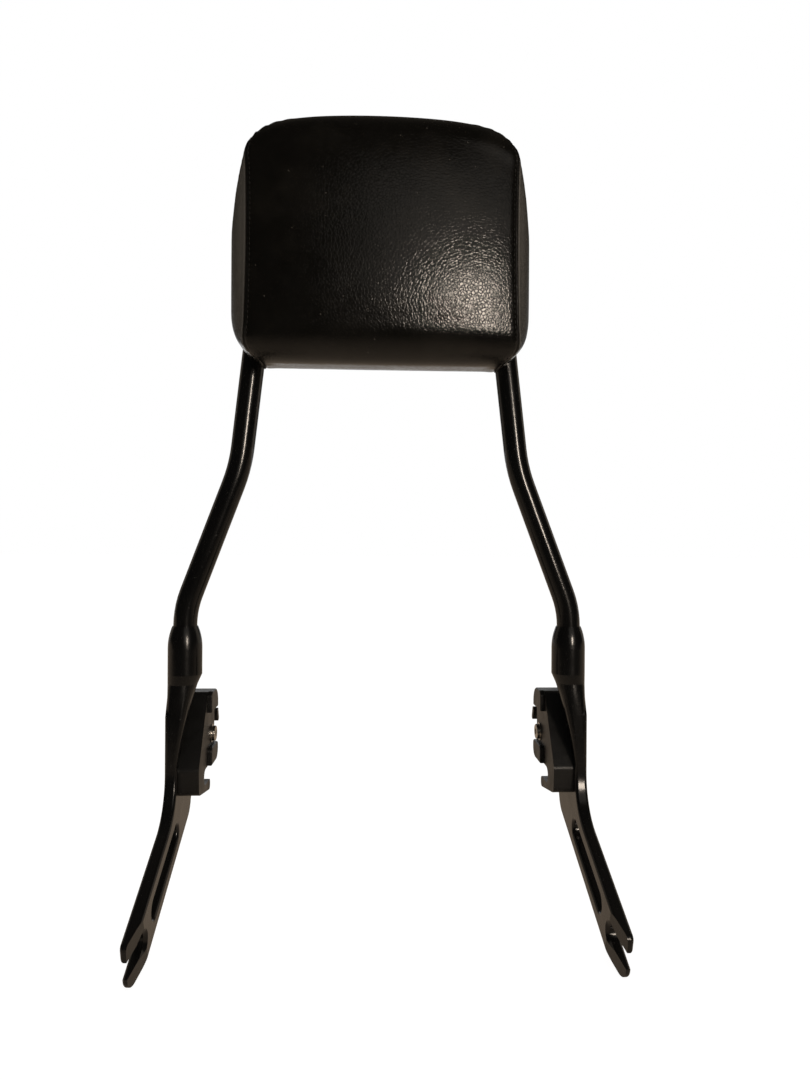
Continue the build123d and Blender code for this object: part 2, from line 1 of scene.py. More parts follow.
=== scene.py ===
import math

import bmesh
import bpy
import numpy as np
from mathutils import Matrix, Vector
from mathutils.bvhtree import BVHTree


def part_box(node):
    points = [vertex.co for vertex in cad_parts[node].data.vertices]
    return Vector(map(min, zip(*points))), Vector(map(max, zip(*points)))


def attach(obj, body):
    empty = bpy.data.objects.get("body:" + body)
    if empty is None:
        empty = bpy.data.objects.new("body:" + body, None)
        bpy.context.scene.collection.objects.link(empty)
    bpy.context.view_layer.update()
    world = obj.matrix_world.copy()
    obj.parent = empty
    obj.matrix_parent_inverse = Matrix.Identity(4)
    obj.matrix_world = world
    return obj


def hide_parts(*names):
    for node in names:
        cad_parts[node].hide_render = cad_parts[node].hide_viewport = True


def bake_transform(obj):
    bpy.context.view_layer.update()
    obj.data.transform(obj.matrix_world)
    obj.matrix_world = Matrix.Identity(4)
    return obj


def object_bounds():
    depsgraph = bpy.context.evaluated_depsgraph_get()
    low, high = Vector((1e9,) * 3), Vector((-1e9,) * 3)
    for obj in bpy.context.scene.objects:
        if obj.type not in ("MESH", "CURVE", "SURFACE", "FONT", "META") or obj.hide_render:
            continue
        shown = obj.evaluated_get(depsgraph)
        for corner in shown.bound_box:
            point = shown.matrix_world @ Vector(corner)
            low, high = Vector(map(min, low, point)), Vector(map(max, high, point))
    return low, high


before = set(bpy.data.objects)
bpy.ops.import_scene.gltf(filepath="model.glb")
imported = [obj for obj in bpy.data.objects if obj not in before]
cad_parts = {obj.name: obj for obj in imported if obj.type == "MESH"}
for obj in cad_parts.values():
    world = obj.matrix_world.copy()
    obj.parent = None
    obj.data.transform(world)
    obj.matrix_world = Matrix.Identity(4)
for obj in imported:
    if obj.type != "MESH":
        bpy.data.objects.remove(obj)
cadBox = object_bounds()
print("frame:", len(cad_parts), "CAD nodes")

pureWhite = (1.0, 1.0, 1.0, 1.0)
noiseRange = (0.3, 0.7)  # most of a noise pattern lies between these


# Node helpers
def addNode(tree, kind, **settings):
    made = tree.nodes.new(kind)
    for name, value in settings.items():
        setattr(made, name, value)
    return made


def feed(tree, socket, value):  # a socket from another node, or a plain value
    if isinstance(value, bpy.types.NodeSocket):
        tree.links.new(value, socket)
    else:
        socket.default_value = value


def maths(tree, operation, first, second):
    made = addNode(tree, "ShaderNodeMath", operation=operation)
    feed(tree, made.inputs[0], first)
    feed(tree, made.inputs[1], second)
    return made.outputs[0]


def noise(tree, where, scale, detail=2.0, rough=0.5):
    made = addNode(tree, "ShaderNodeTexNoise")
    tree.links.new(where, made.inputs["Vector"])
    made.inputs["Scale"].default_value = scale
    made.inputs["Detail"].default_value = detail
    made.inputs["Roughness"].default_value = rough
    return made.outputs["Fac"]


def cells(tree, where, scale, feature="DISTANCE_TO_EDGE"):
    made = addNode(tree, "ShaderNodeTexVoronoi", feature=feature)
    tree.links.new(where, made.inputs["Vector"])
    made.inputs["Scale"].default_value = scale
    return made.outputs["Distance"]


def remap(tree, value, low, high, toLow=0.0, toHigh=1.0):
    made = addNode(tree, "ShaderNodeMapRange", clamp=True)
    tree.links.new(value, made.inputs["Value"])
    for name, number in (("From Min", low), ("From Max", high), ("To Min", toLow), ("To Max", toHigh)):
        made.inputs[name].default_value = number
    return made.outputs["Result"]


def blendColour(tree, factor, first, second):
    made = addNode(tree, "ShaderNodeMix", data_type="RGBA")
    feed(tree, made.inputs["Factor"], factor)
    feed(tree, made.inputs["A"], first)
    feed(tree, made.inputs["B"], second)
    return made.outputs["Result"]


def bump(tree, height, distance, strength=1.0, under=None):
    made = addNode(tree, "ShaderNodeBump")
    made.inputs["Strength"].default_value = strength
    made.inputs["Distance"].default_value = distance
    tree.links.new(height, made.inputs["Height"])
    if under is not None:
        tree.links.new(under, made.inputs["Normal"])
    return made.outputs["Normal"]


def rgba(colour):
    return (*colour, 1.0)


def newMaterial(name):
    made = bpy.data.materials.new(name)
    made.use_nodes = True
    tree = made.node_tree
    shader = tree.nodes["Principled BSDF"]
    where = addNode(tree, "ShaderNodeTexCoord").outputs["Object"]
    return made, tree, shader, where


def sheenOf(tree, pattern, look):  # roughness that drifts with a noise pattern
    return remap(tree, pattern, *noiseRange, look["smooth"], look["dull"])


def dressShader(tree, shader, colour, roughness, normal):
    feed(tree, shader.inputs["Base Color"], colour)
    feed(tree, shader.inputs["Roughness"], roughness)
    feed(tree, shader.inputs["Normal"], normal)


# Finishes of the CAD nodes
def coatedSteel(name, look):  # gloss coat over steel: orange peel, a little dust
    made, tree, shader, where = newMaterial(name)
    cloudy = noise(tree, where, look["cloudScale"], detail=3.0)
    dust = remap(tree, noise(tree, where, look["dustScale"], detail=1.0), look["dustFrom"], look["dustTo"])
    coat = blendColour(tree, cloudy, rgba(look["deep"]), rgba(look["thin"]))
    coat = blendColour(tree, maths(tree, "MULTIPLY", dust, look["dustShare"]), coat, rgba(look["dust"]))
    dusty = maths(tree, "MULTIPLY", dust, look["dustDull"])
    peel = bump(tree, noise(tree, where, look["peelScale"], detail=1.5), look["peelDepth"])
    wave = bump(tree, noise(tree, where, look["waveScale"], detail=1.0), look["waveDepth"], under=peel)
    dressShader(tree, shader, coat, maths(tree, "ADD", sheenOf(tree, cloudy, look), dusty), wave)
    shader.inputs["IOR"].default_value = look["ior"]
    return made


def castFinish(name, look):  # satin paint on a casting: fine sand grain under the paint
    made, tree, shader, where = newMaterial(name)
    cloudy = noise(tree, where, look["cloudScale"], detail=4.0)
    paint = blendColour(tree, cloudy, rgba(look["deep"]), rgba(look["thin"]))
    grain = bump(tree, cells(tree, where, look["grainScale"], "F1"), look["grainDepth"])
    wave = bump(tree, noise(tree, where, look["waveScale"]), look["waveDepth"], under=grain)
    dressShader(tree, shader, paint, sheenOf(tree, cloudy, look), wave)
    shader.inputs["IOR"].default_value = look["ior"]
    return made


def bareMetal(name, look):  # turned or drawn metal: fine streaks, small marks
    made, tree, shader, where = newMaterial(name)
    shader.inputs["Metallic"].default_value = look["metallic"]
    drawn = addNode(tree, "ShaderNodeMapping")
    tree.links.new(where, drawn.inputs["Vector"])
    drawn.inputs["Scale"].default_value = look["stretch"]
    streaks = noise(tree, drawn.outputs["Vector"], look["streakScale"], detail=4.0, rough=0.6)
    marks = noise(tree, where, look["markScale"], detail=3.0)
    metal = blendColour(tree, marks, rgba(look["dark"]), rgba(look["light"]))
    dressShader(tree, shader, metal, sheenOf(tree, streaks, look), bump(tree, streaks, look["depth"]))
    return made


def mouldedPlastic(name, look):  # a finely speckled face, for the board and for waxed thread
    made, tree, shader, where = newMaterial(name)
    speck = noise(tree, where, look["speckScale"], detail=5.0, rough=0.7)
    flow = noise(tree, where, look["flowScale"])
    plastic = blendColour(tree, flow, rgba(look["dark"]), rgba(look["light"]))
    dressShader(tree, shader, plastic, sheenOf(tree, speck, look), bump(tree, speck, look["depth"]))
    return made


def openFoam(name, look):  # cut upholstery foam: round open cells, with painted shade darkening each cell's hollow
    made, tree, shader, where = newMaterial(name)
    pores = cells(tree, where, look["poreScale"], "F1")
    pale = remap(tree, pores, look["poreFrom"], look["poreTo"])
    # painted shade: the cell hollows take the darker colour
    foam = blendColour(tree, pale, rgba(look["poreShade"]), rgba(look["skin"]))
    dressShader(tree, shader, foam, look["dull"], bump(tree, pores, look["depth"]))
    return made


glossTube = {
    "deep": (0.0022, 0.0022, 0.0023), "thin": (0.0042, 0.0040, 0.0037), "cloudScale": 22.0,
    "dust": (0.035, 0.032, 0.028), "dustShare": 0.20, "dustDull": 0.2,
    "dustScale": 420.0, "dustFrom": 0.72, "dustTo": 0.80,
    "smooth": 0.14, "dull": 0.21, "ior": 1.48,
    "peelScale": 620.0, "peelDepth": 0.00003, "waveScale": 55.0, "waveDepth": 0.00010,
}
glossPlate = dict(glossTube, smooth=0.17, dull=0.26, waveScale=70.0, waveDepth=0.00020, peelScale=480.0)
satinLatch = {
    "deep": (0.0034, 0.0033, 0.0032), "thin": (0.0066, 0.0062, 0.0057), "cloudScale": 60.0,
    "smooth": 0.32, "dull": 0.44, "ior": 1.46,
    "grainScale": 1500.0, "grainDepth": 0.00004, "waveScale": 130.0, "waveDepth": 0.00016,
}
satinLever = dict(satinLatch, smooth=0.28, dull=0.40, grainScale=1900.0)
silverScrew = {
    "metallic": 1.0, "stretch": (6.0, 1.0, 1.0), "streakScale": 700.0, "markScale": 900.0,
    "dark": (0.50, 0.47, 0.43), "light": (0.74, 0.71, 0.67),
    "smooth": 0.20, "dull": 0.34, "depth": 0.00002,
}
springWire = dict(silverScrew, dark=(0.20, 0.19, 0.18), light=(0.36, 0.34, 0.32), stretch=(1.0, 4.0, 4.0))
oxideScrew = dict(silverScrew, metallic=0.7, dark=(0.012, 0.012, 0.0125), light=(0.030, 0.028, 0.027),
                  smooth=0.32, dull=0.48)
brassInsert = dict(silverScrew, dark=(0.46, 0.31, 0.12), light=(0.66, 0.48, 0.22))
boardFace = {
    "dark": (0.020, 0.020, 0.0205), "light": (0.032, 0.031, 0.030),
    "speckScale": 1400.0, "flowScale": 18.0, "smooth": 0.48, "dull": 0.66, "depth": 0.00008,
}
padFoam = {
    "skin": (0.62, 0.50, 0.30), "poreShade": (0.30, 0.21, 0.10), "poreScale": 900.0,
    "poreFrom": 0.1, "poreTo": 0.6, "dull": 0.9, "depth": 0.0004,
}

finishes = {
    "black_tube": coatedSteel("blackTube", glossTube),
    "black_plate": coatedSteel("blackPlate", glossPlate),
    "latch_black": castFinish("latchBlack", satinLatch),
    "lever_black": castFinish("leverBlack", satinLever),
    "bright_steel": bareMetal("brightSteel", silverScrew),
    "spring_steel": bareMetal("springSteel", springWire),
    "black_screw": bareMetal("blackScrew", oxideScrew),
    "brass_insert": bareMetal("brassInsert", brassInsert),
    "board_plastic": mouldedPlastic("boardPlastic", boardFace),
    "foam": openFoam("padFoamCells", padFoam),
}
nodeFinish = {
    "hoop_tube": "black_tube", "upper_crossbar": "black_tube", "lower_crossbar": "black_tube",
    "side_plate": "black_plate", "latch_body": "latch_black", "latch_lever": "lever_black",
    "stop_pin": "spring_steel", "dowels": "spring_steel", "lever_spring": "spring_steel",
    "pivot_screw": "bright_steel", "pivot_washer": "bright_steel",
    "pad_base": "board_plastic", "pad_foam": "foam", "pad_cover": "foam",
    "pad_inserts": "brass_insert", "pad_screws": "black_screw", "pad_washers": "black_screw",
}
for nodeName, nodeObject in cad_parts.items():
    plainName = nodeName.removeprefix("left_").removeprefix("right_")
    nodeObject.data.materials.clear()
    nodeObject.data.materials.append(finishes[nodeFinish[plainName]])
print("finishes:", len(finishes))


# Pad cover
vinylLook = {
    # seam is a darker colour painted into the sunk seam ditch as shade
    "deep": (0.0022, 0.0020, 0.0015), "thin": (0.0042, 0.0036, 0.0028), "seam": (0.0016, 0.0014, 0.0012),
    "smooth": 0.16, "dull": 0.22, "seamDull": 0.25, "ior": 1.5,
    "scuff": (0.016, 0.0138, 0.0108), "wornShare": 0.35,
    "wornScale": 16.0, "wornFrom": 0.52, "wornTo": 0.75,
    "speck": (0.10, 0.09, 0.075), "speckShare": 0.6,  # a few specks of dust
    "speckScale": 90.0, "speckCore": 0.025, "speckEdge": 0.05,
    "paintedSideLight": (0.009, 0.0074, 0.0055), "paintedSideLightShare": 0.8,  # painted light: the side panels are lighter and warmer, standing in for warm light falling on them
    "swirlScale": 300.0, "swirl": 0.0012,  # bends the grain off straight cells
    "grainScale": 430.0, "grainDepth": 0.000065, "grainEdge": 0.22, "grainStrength": 0.9,
    "fineScale": 2600.0, "fineDepth": 0.00002, "fineStrength": 0.8,
    "creaseScale": 46.0, "creaseDepth": 0.00012, "creaseStrength": 0.6,
}


def grainedVinyl(name, look):
    made, tree, shader, where = newMaterial(name)
    swirl = addNode(tree, "ShaderNodeTexNoise")
    tree.links.new(where, swirl.inputs["Vector"])
    swirl.inputs["Scale"].default_value = look["swirlScale"]
    bent = addNode(tree, "ShaderNodeVectorMath", operation="MULTIPLY_ADD")
    tree.links.new(swirl.outputs["Color"], bent.inputs[0])
    bent.inputs[1].default_value = (look["swirl"],) * 3
    tree.links.new(where, bent.inputs[2])
    grain = remap(tree, cells(tree, bent.outputs["Vector"], look["grainScale"]), 0.0, look["grainEdge"])
    fine = noise(tree, where, look["fineScale"], detail=3.0)
    crease = noise(tree, where, look["creaseScale"], detail=3.0, rough=0.55)
    worn = noise(tree, where, look["wornScale"], detail=3.0, rough=0.6)
    worn = remap(tree, worn, look["wornFrom"], look["wornTo"])
    specks = cells(tree, where, look["speckScale"], "F1")
    specks = remap(tree, specks, look["speckCore"], look["speckEdge"], 1.0, 0.0)
    ditch = addNode(tree, "ShaderNodeAttribute", attribute_name="seamShade").outputs["Fac"]
    side = addNode(tree, "ShaderNodeAttribute", attribute_name="sidePanel").outputs["Fac"]
    hide = blendColour(tree, crease, rgba(look["deep"]), rgba(look["thin"]))
    hide = blendColour(tree, maths(tree, "MULTIPLY", worn, look["wornShare"]), hide, rgba(look["scuff"]))
    hide = blendColour(tree, maths(tree, "MULTIPLY", specks, look["speckShare"]), hide, rgba(look["speck"]))
    # painted light: the side panels are blended towards a lighter, warmer tone for the light that falls on
    # them
    hide = blendColour(tree, maths(tree, "MULTIPLY", side, look["paintedSideLightShare"]), hide, rgba(look["paintedSideLight"]))
    # painted shade: the seam ditch is darkened in colour as well as sunk, for the shade in it
    hide = blendColour(tree, ditch, hide, rgba(look["seam"]))
    dullSeam = maths(tree, "MULTIPLY", ditch, look["seamDull"])
    polish = maths(tree, "ADD", sheenOf(tree, crease, look), dullSeam)
    soft = bump(tree, crease, look["creaseDepth"], look["creaseStrength"])
    coarse = bump(tree, grain, look["grainDepth"], look["grainStrength"], under=soft)
    relief = bump(tree, fine, look["fineDepth"], look["fineStrength"], under=coarse)
    dressShader(tree, shader, hide, polish, relief)
    shader.inputs["IOR"].default_value = look["ior"]
    return made


coverLook = {
    # half width of the front panel at shoulder, middle and foot, and the heights over which it narrows
    "shoulderX": 0.096, "seamX": 0.1008, "footX": 0.093, "shoulderRun": 0.060, "footRun": 0.050,
    # drop of the top edge to the shoulder, and the heights of the side's two corners
    "shoulderDrop": 0.0185, "dropPower": 3.8, "sideTopZ": 0.066, "sideLowZ": 0.044,
    # the front panel's line from top to foot, and its crown from side to side
    "topRound": 0.024, "footRound": 0.026, "bow": 0.0055, "crown": 0.0050,
    # steps of the lines and of the mesh, with narrow ones beside the seam
    "arcSteps": 16, "frontSteps": 19, "frontEnd": 0.05, "outlineSteps": 14,
    "columns": 40, "rows": 62, "sideColumns": 10, "seamStep": 0.006, "sideStep": 0.02,
    # how the skin is laid on the CAD cover
    "rayReach": 0.03, "backGap": 0.0004, "lift": 0.0005, "settling": 6, "pushAcross": 0.6, "pushUp": 0.5,
    "ridgeSearch": 0.008, "ridgeTries": 41, "ridgePull": 0.35, "ridgePasses": 3, "seamProud": 0.0006,
    "pillow": 0.0024, "pillowReach": 0.008,
    # the hem on the back, in shares of its width, and the share where the staples lie
    "hem": 0.018, "hemSteps": (0.35, 0.7, 1.0), "stapleStep": 0.7,
    # cloth, and the room that its wall keeps over the foam
    "quality": 6, "mass": 0.25, "stretch": 12.0, "shear": 6.0, "bend": 0.6,
    "pressure": 4.0, "cap": 0.006, "frames": 20, "relax": 12,
    "wall": 0.0010, "gap": 0.0002, "foamReach": 0.012, "rimDepth": 0.006, "clearPasses": 4,
    # the sunk seam with its two lips, and the gathers at the foot corners
    "ditchDepth": 0.0008, "ditchWidth": 0.0011, "lip": 0.0003, "lipAway": 0.0045, "lipWidth": 0.0035,
    "pleatDepth": 0.0006, "pleatPitch": 0.0058, "pleatReach": 0.012, "pleatHeight": 0.026,
    "pleatFrom": 0.002, "seamLength": 0.28, "cornerIn": 0.014, "cornerBack": 0.012, "cornerFade": 0.010,
}
padLow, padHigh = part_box("pad_cover")
padMiddleZ = (padLow[2] + padHigh[2]) / 2
cadSkin = BVHTree.FromObject(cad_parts["pad_cover"], bpy.context.evaluated_depsgraph_get())
foamSkin = BVHTree.FromObject(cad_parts["pad_foam"], bpy.context.evaluated_depsgraph_get())


def spaced(count, near):  # 0 to 1, with two close steps at each end for the seam
    inner = np.linspace(0, 1, count + 1)[1:-1]
    return np.concatenate(([0, near, 2 * near], inner[(inner > 3 * near) & (inner < 1 - 3 * near)],
                           [1 - 2 * near, 1 - near, 1]))


def evenly(points, count):  # count points at equal steps along a line of points
    points = np.asarray(points, float)
    run = np.concatenate(([0], np.cumsum(np.linalg.norm(np.diff(points, axis=0), axis=1))))
    wanted = np.linspace(0, run[-1], count)
    return np.stack([np.interp(wanted, run, points[:, k]) for k in range(points.shape[1])], 1)


def sideProfile(topZ, frontY, look, count):  # the front panel's line: over the top, down, under the foot
    backY, footZ = padHigh[1], padLow[2]
    edgeY = frontY + look["bow"]
    top, foot = look["topRound"], look["footRound"]
    line = [(backY, topZ)]
    for turn in np.linspace(90, 180, look["arcSteps"]):
        a = math.radians(turn)
        line.append((edgeY + top * (1 + math.cos(a)), topZ + top * (math.sin(a) - 1)))
    high, low = topZ - top, footZ + foot
    for share in np.linspace(look["frontEnd"], 1 - look["frontEnd"], look["frontSteps"]):
        line.append((edgeY - look["bow"] * math.sin(math.pi * share), high + (low - high) * share))
    for turn in np.linspace(180, 270, look["arcSteps"]):
        a = math.radians(turn)
        line.append((edgeY + foot * (1 + math.cos(a)), footZ + foot * (math.sin(a) + 1)))
    line.append((backY, footZ))
    return evenly(line, count)


def seamHalfWidth(z, look):  # the front panel narrows to the shoulder and to the foot
    top, foot = padHigh[2] - look["shoulderDrop"], padLow[2]
    towardsTop = np.clip((z - (top - look["shoulderRun"])) / look["shoulderRun"], 0, 1) ** 2
    towardsFoot = np.clip(((foot + look["footRun"]) - z) / look["footRun"], 0, 1) ** 2
    atTop, atFoot = look["seamX"] - look["shoulderX"], look["seamX"] - look["footX"]
    return look["seamX"] - atTop * towardsTop - atFoot * towardsFoot


def backOutline(look, count):  # the silhouette from the shoulder down to the foot, right-hand side (+X)
    halfX = padHigh[0]
    shoulderZ, footZ = padHigh[2] - look["shoulderDrop"], padLow[2]
    corners = ((look["shoulderX"], shoulderZ, look["sideTopZ"], 1),
               (look["footX"], footZ, look["sideLowZ"], -1))
    line = []
    for endX, endZ, reach, order in corners:
        inX = halfX - endX
        radius = (inX ** 2 + reach ** 2) / (2 * inX)
        sweep = math.asin(reach / radius)
        arc = [(halfX - radius * (1 - math.cos(a)), endZ - order * reach + order * radius * math.sin(a))
               for a in np.linspace(sweep, 0, look["outlineSteps"])]
        line += arc if order == 1 else arc[::-1]
    return evenly(line, count)


def outerDepth(target, outward, look):  # how far the CAD cover's outer face lies outside a target, or None
    reach = look["rayReach"]
    inFront = min(target.y, padHigh[1] - look["backGap"])  # keeps the ray off the flat back
    start = Vector((target.x, inFront, target.z)) + outward * reach
    spot, _, _, away = cadSkin.ray_cast(start, -outward, 2 * reach)
    return None if spot is None else reach - away


def settle(depths, passes):  # evens a grid of depths out, with its edges held
    depths = depths.copy()
    for _ in range(passes):
        depths[1:-1, 1:-1] = (depths[:-2, 1:-1] + depths[2:, 1:-1] + depths[1:-1, :-2] + depths[1:-1, 2:]) / 4
    return depths


def neighbourMean(values, edges):  # each vertex's mean over the vertices beside it
    total, number = np.zeros(len(values)), np.zeros(len(values))
    for near, far in (edges.T, edges.T[::-1]):
        np.add.at(total, near, values[far])
        np.add.at(number, near, 1)
    return total / np.maximum(number, 1)


def edgePairs(mesh):
    return np.array([edge.vertices[:] for edge in mesh.edges])


def seamLine(profile, facings, side, look):  # the ridge between front and side panel, row by row
    line = []
    for (y, z), facing in zip(profile, facings):
        width = seamHalfWidth(z, look)
        spots = []
        for shift in np.linspace(-look["ridgeSearch"], look["ridgeSearch"], look["ridgeTries"]):
            spot = Vector((side * (width + shift), y, z))
            depth = outerDepth(spot, facing, look)
            if depth is not None:
                spots.append(spot + facing * depth)
        upwards = np.clip(2 * facing.z, 0, 1)  # the ridge is sharp on the top and blunter below
        pull = look["ridgePull"] + (1 - look["ridgePull"]) * upwards
        best = max(spots, key=lambda spot: pull * side * spot.x + spot.dot(facing))
        line.append(best + (facing + Vector((side, 0, 0))) * look["seamProud"])
    line = np.array(line)
    for _ in range(look["ridgePasses"]):
        line[1:-1] = (line[:-2] + 2 * line[1:-1] + line[2:]) / 4
    return line


def addPoint(net, spot, run, away, held, panel=0.0):  # one vertex with its place along and off the seam
    net["places"].append(tuple(spot))
    net["seamRun"].append(run)
    net["seamAway"].append(away)
    net["sidePanel"].append(panel)
    net["pin"].append(held)
    return len(net["places"]) - 1


def quad(grid, panel, r, c):
    return [grid[panel, r, c], grid[panel, r, c + 1], grid[panel, r + 1, c + 1], grid[panel, r + 1, c]]


def layFront(net, across, profiles, facings, seams, look):  # rows run from the top's back edge to the foot's
    rows, last = look["rows"], len(across) - 1
    depths = np.zeros((rows, last + 1))
    base = np.zeros((rows, last + 1, 3))
    for r in range(rows):
        left, right = seams[-1][r], seams[1][r]
        for c, share in enumerate(across):
            base[r, c] = (left[0] + (right[0] - left[0]) * share, *profiles[c][r])
            depths[r, c] = outerDepth(Vector(base[r, c]), facings[r], look) or 0.0
    depths = settle(depths, look["settling"])
    for r in range(rows):
        left, right = seams[-1][r], seams[1][r]
        for c, share in enumerate(across):
            edge, onSeam = r in (0, rows - 1), c in (0, last)
            fromSeam = min(share, 1 - share) * (right[0] - left[0])
            stuffed = look["pillow"] * (1 - math.exp(-fromSeam / look["pillowReach"])) * abs(facings[r].y)
            rise = 0.0 if edge else look["lift"] + stuffed
            spot = base[r, c] + np.array(facings[r]) * (depths[r, c] + rise)
            if onSeam:
                spot = left if c == 0 else right
            held = 1.0 if edge or onSeam else 0.0
            net["grid"]["front", r, c] = addPoint(net, spot, r / (rows - 1), fromSeam, held)
    net["faces"] += [quad(net["grid"], "front", r, c) for r in range(rows - 1) for c in range(last)]


def laySides(net, seams, last, look):  # from each seam outwards and back to the rim
    rows, grid = look["rows"], net["grid"]
    outline = backOutline(look, rows)
    outward = spaced(look["sideColumns"], look["sideStep"])
    end = len(outward) - 1
    for side, seamColumn in ((-1, 0), (1, last)):
        depths = np.zeros((rows, end + 1))
        spots, pushes = {}, {}
        for r in range(rows):
            seam = Vector(seams[side][r])
            back = Vector((side * outline[r][0], padHigh[1], outline[r][1]))
            for c, share in enumerate(outward):
                spot = spots[r, c] = seam.lerp(back, share)
                push = Vector((look["pushAcross"] * spot.x, 0, look["pushUp"] * (spot.z - padMiddleZ)))
                pushes[r, c] = push.normalized()
                if 0 < r < rows - 1 and 0 < c < end:
                    depths[r, c] = (outerDepth(spot, pushes[r, c], look) or 0.0) + look["lift"]
        depths = settle(depths, look["settling"] // 2)
        for r in range(rows):
            for c, share in enumerate(outward):
                if c == 0 or r in (0, rows - 1):
                    grid[side, r, c] = grid["front", r, seamColumn]
                    continue
                spot = spots[r, c] + pushes[r, c] * depths[r, c]
                away = share * (spots[r, end] - spots[r, 0]).length
                held = 1.0 if c == end else 0.0
                grid[side, r, c] = addPoint(net, spot, r / (rows - 1), away, held, panel=1.0)
        for r in range(rows - 1):
            for c in range(end):
                loop = quad(grid, side, r, c)
                loop = [v for k, v in enumerate(loop) if v not in loop[:k]]
                if len(loop) > 2:
                    net["faces"].append(loop if side == 1 else loop[::-1])
    return end


def layHem(net, last, end, look):  # turned in over the board; a plug closes the back for the pressure
    rows, grid, places = look["rows"], net["grid"], net["places"]
    rim = [grid["front", 0, c] for c in range(last + 1)]
    rim += [grid[1, r, end] for r in range(1, rows - 1)]
    rim += [grid["front", rows - 1, c] for c in range(last, -1, -1)]
    rim += [grid[-1, r, end] for r in range(rows - 2, 0, -1)]
    centre = np.array((0, padHigh[1], padMiddleZ))
    halfSize = np.array((padHigh[0], 1, (padHigh[2] - padLow[2]) / 2))
    ring = rim
    for step in look["hemSteps"]:
        shrink = 1 - step * look["hem"] / halfSize
        inner = []
        for v in rim:
            spot = centre + (np.array(places[v]) - centre) * (shrink[0], 1, shrink[2])
            inner.append(addPoint(net, spot, 0, 1.0, 1.0))
        if step == look["stapleStep"]:
            stapleLine = [places[v] for v in inner]
        for k in range(len(rim)):
            n = (k + 1) % len(rim)
            net["faces"].append([ring[k], inner[k], inner[n], ring[n]])
        ring = inner
    middle = addPoint(net, centre, 0, 1.0, 1.0)
    net["faces"] += [[ring[k], middle, ring[(k + 1) % len(ring)]] for k in range(len(ring))]
    return middle, stapleLine


def coverMesh(look):
    rows = look["rows"]
    across = spaced(look["columns"], look["seamStep"])
    last = len(across) - 1
    profiles = []
    for share in across:
        outwards = abs(2 * share - 1)
        topZ = padHigh[2] - look["shoulderDrop"] * outwards ** look["dropPower"]
        profiles.append(sideProfile(topZ, padLow[1] + look["crown"] * outwards ** 2, look, rows))
    slope = np.gradient(profiles[0], axis=0)
    facings = [Vector((0, dz, -dy)).normalized() for dy, dz in slope]
    seams = {side: seamLine(profiles[0], facings, side, look) for side in (-1, 1)}
    net = {name: [] for name in ("places", "seamRun", "seamAway", "sidePanel", "pin", "faces")}
    net["grid"] = {}  # (panel, row, column) to vertex
    layFront(net, across, profiles, facings, seams, look)
    end = laySides(net, seams, last, look)
    middle, stapleLine = layHem(net, last, end, look)
    mesh = bpy.data.meshes.new("padCover")
    mesh.from_pydata(net["places"], [], net["faces"])
    for name in ("seamRun", "seamAway", "sidePanel"):
        mesh.attributes.new(name, "FLOAT", "POINT").data.foreach_set("value", net[name])
    mesh.update()
    seamVertices = {side: [net["grid"]["front", r, column] for r in range(rows)]
                    for side, column in ((-1, 0), (1, last))}
    return mesh, net["pin"], middle, seamVertices, stapleLine


def swellCover(cover, pin, look):  # cloth, filled with a little pressure and held at seams and hem
    cloth = cover.modifiers.new("stuffing", "CLOTH")
    held = cover.vertex_groups.new(name="held")
    for v, weight in enumerate(pin):
        if weight:
            held.add([v], weight, "REPLACE")
    setup = cloth.settings
    setup.quality = look["quality"]
    setup.mass = look["mass"]
    setup.tension_stiffness = setup.compression_stiffness = look["stretch"]
    setup.shear_stiffness = look["shear"]
    setup.bending_stiffness = look["bend"]
    setup.vertex_group_mass = "held"
    setup.use_pressure = True
    setup.uniform_pressure_force = look["pressure"]
    setup.effector_weights.gravity = 0.0
    cloth.collision_settings.use_collision = False
    cloth.collision_settings.use_self_collision = False
    cloth.point_cache.frame_end = look["frames"]
    scene = bpy.context.scene
    for step in range(1, look["frames"] + 1):
        scene.frame_set(step)
    swollen = cover.evaluated_get(bpy.context.evaluated_depsgraph_get())
    start = np.array([v.co for v in cover.data.vertices])
    moved = np.array([v.co for v in swollen.data.vertices]) - start
    normal = np.array([v.normal for v in cover.data.vertices])
    swell = np.clip((moved * normal).sum(1), 0.0, look["cap"])  # outwards only, the foam stops it inwards
    loose, edges = np.array(pin) == 0, edgePairs(cover.data)
    for _ in range(look["relax"]):
        swell = np.where(loose, neighbourMean(swell, edges), swell)
    cover.modifiers.remove(cloth)
    cover.vertex_groups.clear()
    cover.data.vertices.foreach_set("co", (start + normal * swell[:, None]).ravel())
    cover.data.update()
    scene.frame_set(1)
    print("pad cover swelled by up to %.1f mm" % (1000 * swell.max()))


def clearFoam(places, normals, edges, look):  # how far each point rises to leave the wall room over the foam
    reach, need = look["foamReach"], look["wall"] + look["gap"]
    rise = np.zeros(len(places))
    for k, (place, normal) in enumerate(zip(places, normals)):
        if place[1] > padHigh[1] - look["rimDepth"]:  # the hem and the rim lie behind the foam
            continue
        start = Vector(place) + Vector(normal) * reach
        spot, _, _, away = foamSkin.ray_cast(start, -Vector(normal), reach + need)
        if spot is not None:
            rise[k] = reach - away + need
    for _ in range(look["clearPasses"]):
        rise = np.maximum(rise, neighbourMean(rise, edges))
    return rise


def applyModifiers(piece):  # the evaluated mesh becomes the piece's own
    made = bpy.data.meshes.new_from_object(piece.evaluated_get(bpy.context.evaluated_depsgraph_get()))
    piece.modifiers.clear()
    old, piece.data = piece.data, made
    bpy.data.meshes.remove(old)


